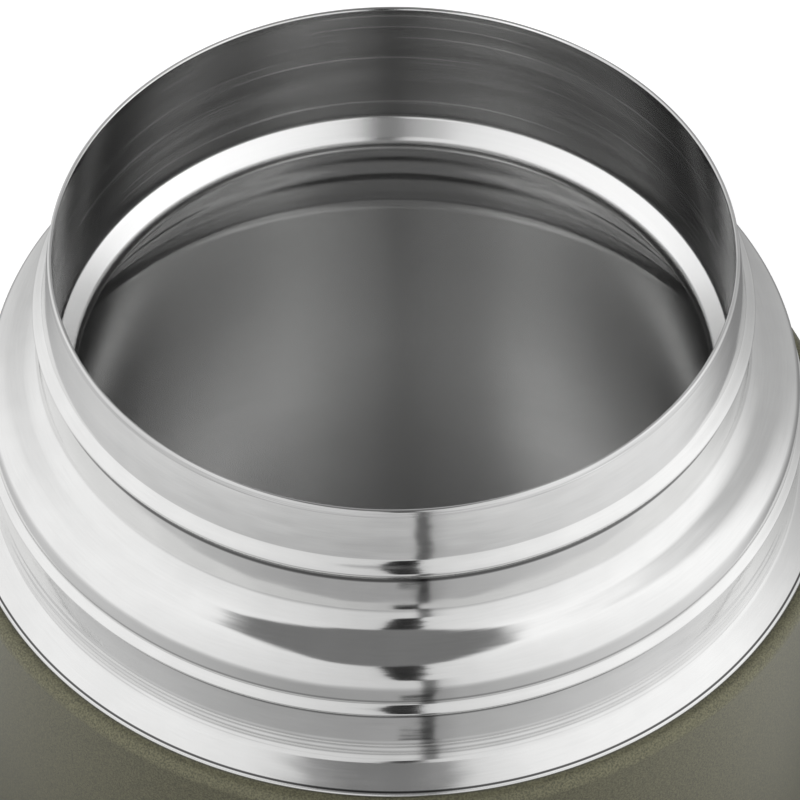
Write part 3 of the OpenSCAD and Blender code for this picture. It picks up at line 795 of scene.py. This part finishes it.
class FOODJAR_OT_stage(bpy.types.Operator):
    """Set up the floor, the studio light and the camera"""

    bl_idname = "food_jar.stage"
    bl_label = "Stage"

    def execute(self, context):
        scene = context.scene
        stage = scene.food_jar_stage
        scene.view_settings.view_transform = "Standard"
        self.light(scene, stage)
        self.floor(scene, stage)
        cam = bpy.data.cameras.new("camera")
        cam.lens = stage.lens
        cam.sensor_width = 36  # millimetres
        cam.clip_end = 50
        holder = bpy.data.objects.new("camera", cam)
        scene.collection.objects.link(holder)
        aside = 0.664 * MM  # the jar's axis stands this far left of the view's middle
        back = stage.distance * math.cos(stage.elevation)
        height = stage.target_height + stage.distance * math.sin(stage.elevation)
        holder.location = (aside, -back, height)
        holder.rotation_euler = (math.pi / 2 - stage.elevation, 0, 0)
        scene.camera = holder
        return {"FINISHED"}

    def around(self, t, x, y, stage):
        """Brightness by direction round the object: high up, low down, and the angle in degrees.

        The angle is 0 in front and grows to the right. Light is least in front, most at both
        sides, and falls off again behind.
        """
        across = x / t.radius(x, y).maths("MAXIMUM", 1e-6)
        degrees = x.maths("ARCTAN2", y * -1) * math.degrees(1)
        behind_right = degrees.between(90, 130)
        behind_left = (degrees * -1).between(115, 160)
        dim = (1 - behind_right * 0.5) * (1 - behind_left * 0.3)
        rise = stage.side_light - stage.front_light
        high = (stage.front_light + abs(across) * rise + across * 0.06) * dim
        low = (0.4 + across * across * 0.35 + across * 0.1) * dim
        return high, low * (1 - degrees.between(80, 120) * 0.25), degrees

    def gap(self, degrees, middle, half, soft, dark):
        """Upright gap in the light: dark inside half of its middle, clear from soft further out."""
        off = abs(degrees - middle) - half
        return dark + (1 - dark) * off.between(0, soft)

    def light(self, scene, stage):
        """Pale surround lit from both sides; the camera sees plain white.

        A dark oval hangs overhead, leaning to the front: the sum of both offsets on a ceiling one
        metre up, each over its half width and to the power 2.6.
        """
        world = bpy.data.worlds.new("surround")
        scene.world = world
        t = Tree(world)
        direction = t.node("TexCoord", out="Generated")
        x, y, z = t.split(direction)
        up = z.maths("MAXIMUM", 0.02)
        half_x, half_y, power = 0.29, 0.74, 2.6
        oval = (abs((x / up + 0.05) * (1 / half_x)) ** power
                + abs((y / up + 0.2) * (1 / half_y)) ** power)
        ragged = t.noise(direction, 0.06) - 0.5
        patch = (1 - (oval + ragged * 0.6).between(0.6, 1.4)) * z.between(0.1, 0.2)
        glow, _, degrees = self.around(t, x, y, stage)
        rising = z.maths("MAXIMUM", 0)
        wander = ragged * math.degrees(0.1)
        # One ragged dark gap just right of the front, which widens higher up
        glow = glow * self.gap(degrees + wander, 3.5 - rising * 2, 2.6 + rising * 4, 1.0, 0.03)
        glow = glow + (0.2 - glow) * patch
        # A slightly brighter field high behind
        behind = (1 - abs(x).between(0.2, 0.55)) * y.between(0.1, 0.4) * z.between(0.3, 0.6)
        glow = glow * (1 + behind * 0.15)
        seen = t.node("LightPath", out="Is Camera Ray")
        shown = glow * (1 - seen) + seen
        grey = t.node("CombineColor", {}, {0: shown, 1: shown, 2: shown})
        back = t.node("Background", {}, {"Color": grey, "Strength": 1.0})
        t.node("OutputWorld", {}, {"Surface": back})

    def floor(self, scene, stage):
        """Pale round floor: white to the camera apart from the object's shadow.

        Glossy rays see it glow instead: painted light that stands for the surround's light on it,
        with painted shade darker close to the jar.
        """
        sides, reach = 96, 6
        k = np.arange(sides)
        phi = k * 2 * np.pi / sides
        rim = np.c_[reach * np.cos(phi), reach * np.sin(phi), 0 * phi]
        mesh = bpy.data.meshes.new("floor")
        mesh.from_pydata([[0, 0, 0], *rim.tolist()], [],
                         np.c_[0 * k, k + 1, (k + 1) % sides + 1].tolist())
        t = finish_called("pale_floor")
        where = t.where()
        x, y, _ = t.split(where)
        camera_ray = t.node("LightPath", out="Is Camera Ray")
        glow, low, degrees = self.around(t, x, y, stage)
        distance = t.radius(x, y)
        glow = glow + (low - glow) * (1 - distance.between(0.13, 0.3))
        # Painted shadow: the jar's own shade, painted into the floor's glow
        glow = glow * distance.between(0.07, 0.12, 0.2, 1.0)  # the jar's own shade
        wander = (t.noise(where, 14 * MM) - 0.5) * math.degrees(0.1)
        # The gap goes on over the floor, wider and darker at one spot, with a faint one beside it
        spot = distance.between(0.1235, 0.1255) * (1 - distance.between(0.1305, 0.1325))
        glow = glow * self.gap(degrees + wander, 8 - spot * 2.2, 1.1 + spot * 2.6, 1.5,
                               0.25 - spot * 0.22)
        glow = glow * self.gap(degrees, 10, 0.5, 6, 0.85)
        white = (1, 1, 1, 1)
        shade = t.node("BsdfDiffuse", {}, {"Color": (0.82, 0.82, 0.82, 1)})
        lift = t.node("Emission", {}, {"Color": white, "Strength": camera_ray * 0.5})
        lit = t.node("AddShader", {}, {0: shade, 1: lift})
        # Painted light: the floor glows for glossy rays, standing for the surround's light on it
        painted_floor_glow = t.node("Emission", {}, {"Color": white, "Strength": glow})
        glossy_ray = camera_ray.also("Is Glossy Ray")
        both = t.node("MixShader", {}, {0: glossy_ray, 1: lit, 2: painted_floor_glow})
        t.node("OutputMaterial", {}, {"Surface": both})
        mesh.materials.append(t.owner)
        floor = bpy.data.objects.new("floor", mesh)
        scene.collection.objects.link(floor)


class FOODJAR_PT_panel(bpy.types.Panel):
    """Lists the pieces and their settings"""

    bl_idname = "FOODJAR_PT_panel"
    bl_label = "Food Jar"
    bl_space_type = "VIEW_3D"
    bl_region_type = "UI"
    bl_category = "Food Jar"

    def draw(self, context):
        scene = context.scene
        for group in (scene.food_jar_sizes, scene.food_jar_colours, scene.food_jar_stage):
            for key in group.__annotations__:
                self.layout.prop(group, key)
        for operator in OPERATORS:
            self.layout.operator(operator.bl_idname)


OPERATORS = (FOODJAR_OT_neck, FOODJAR_OT_liner, FOODJAR_OT_body, FOODJAR_OT_lid, FOODJAR_OT_vent,
             FOODJAR_OT_hidden, FOODJAR_OT_stage)
CLASSES = (JarSizes, JarColours, JarStage, *OPERATORS, FOODJAR_PT_panel)


def register():
    for cls in CLASSES:
        bpy.utils.register_class(cls)
    bpy.types.Scene.food_jar_sizes = PointerProperty(type=JarSizes)
    bpy.types.Scene.food_jar_colours = PointerProperty(type=JarColours)
    bpy.types.Scene.food_jar_stage = PointerProperty(type=JarStage)


def unregister():
    del bpy.types.Scene.food_jar_stage
    del bpy.types.Scene.food_jar_colours
    del bpy.types.Scene.food_jar_sizes
    for cls in reversed(CLASSES):
        bpy.utils.unregister_class(cls)


def main():
    register()
    for operator in OPERATORS:
        group, name = operator.bl_idname.split(".")
        getattr(getattr(bpy.ops, group), name)()


if __name__ == "__main__":
    main()
